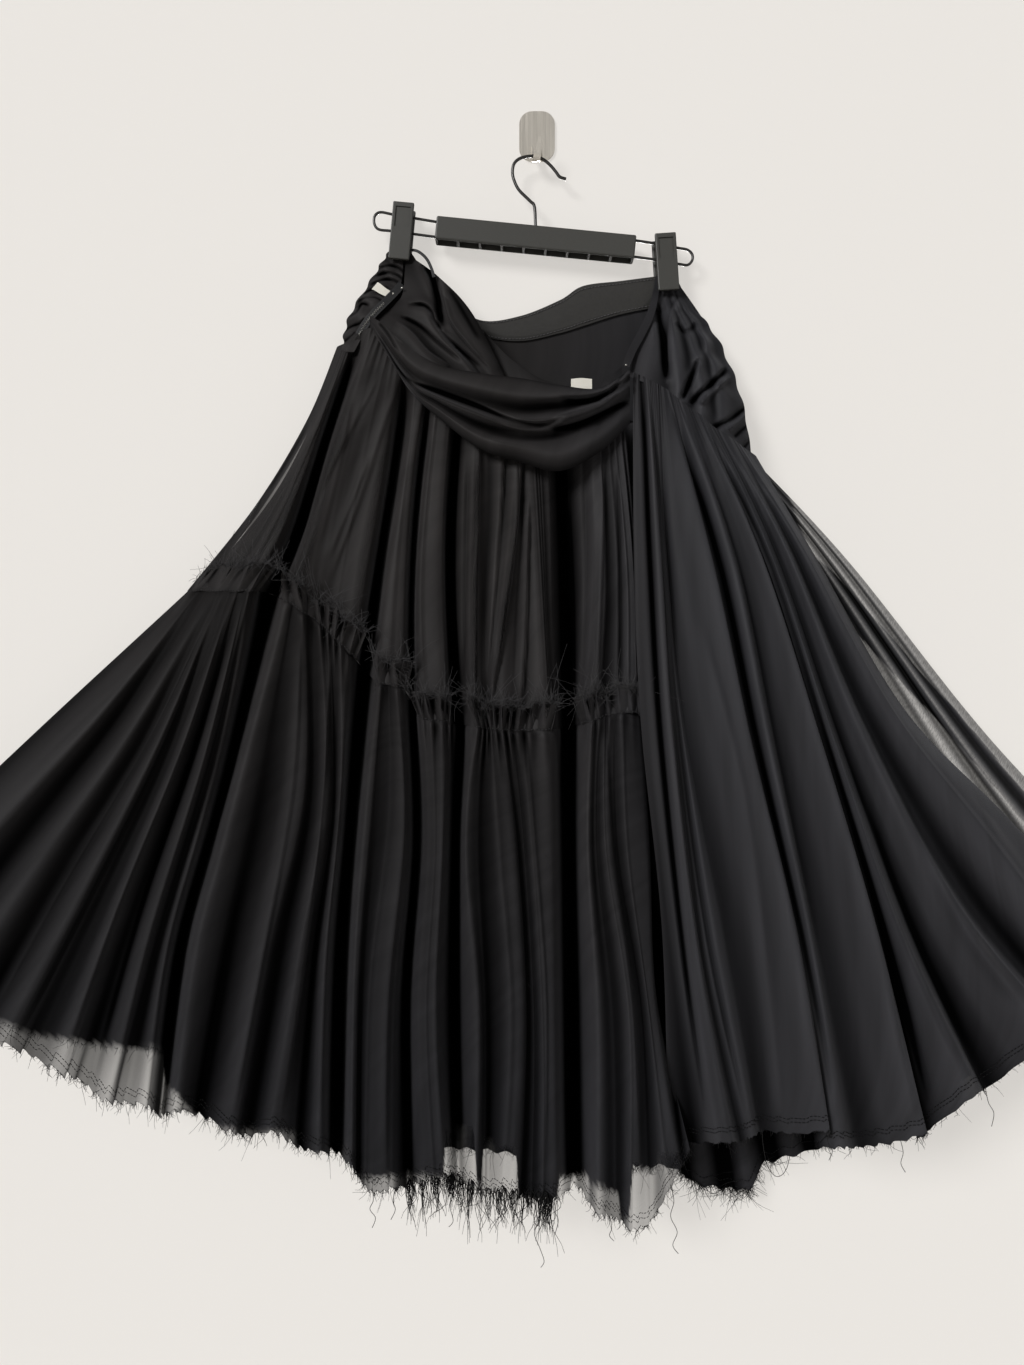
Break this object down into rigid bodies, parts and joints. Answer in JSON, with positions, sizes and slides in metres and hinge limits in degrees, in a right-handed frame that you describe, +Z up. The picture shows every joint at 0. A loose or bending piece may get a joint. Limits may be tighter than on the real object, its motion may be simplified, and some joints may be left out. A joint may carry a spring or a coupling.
{
  "type": "midi skirt on a clip hanger and wall hook",
  "caption": "Tiered chiffon midi skirt with a cross swag, ruffle header and pleated overskirt, clipped to a bar hanger on a stick-on wall hook.",
  "frame": {"origin": "centre of the wall hook plate's back face, where it is stuck to the wall", "axes": "+X to the right seen from the front, +Y into the wall, +Z up"},
  "size_m": [1.3133, 0.1157, 1.0799],
  "materials": {
    "chiffon": "black chiffon, fine plain weave, faint sheen, sheer in one layer",
    "tulle": "black fine mesh, sheer",
    "tape": "black woven tape and ribbon",
    "label": "cream satin tape, blank",
    "hanger_plastic": "dark grey, satin moulded",
    "steel": "brushed",
    "hanger_wire": "dark nickel wire"
  },
  "bodies": {
    "root": {"back_yoke": "chiffon", "left_yoke": "chiffon", "front_yoke": "chiffon", "front_waist": "chiffon", "hip_yoke": "chiffon", "waist_strip": "chiffon", "upper_tier": "chiffon", "ruffle_header": "chiffon", "lower_tier": "chiffon", "hem_fringe_left": "chiffon", "hem_fringe_right": "chiffon", "swag": "chiffon", "overskirt": "chiffon", "back_waist_band": "tulle", "back_skirt": "tulle", "zip_tape": "tape", "hanging_loop": "tape", "side_label": "label", "waist_label": "label", "hanger_bar": "hanger_plastic", "clip_left_front": "hanger_plastic", "clip_left_back": "hanger_plastic", "clip_right_front": "hanger_plastic", "clip_right_back": "hanger_plastic", "wall_hook_plate": "steel", "wall_hook_prong": "steel", "clip_left_spring": "steel", "clip_right_spring": "steel", "hanger_hook": "hanger_wire", "hanger_loop_left": "hanger_wire", "hanger_loop_right": "hanger_wire"}
  },
  "joints": []
}
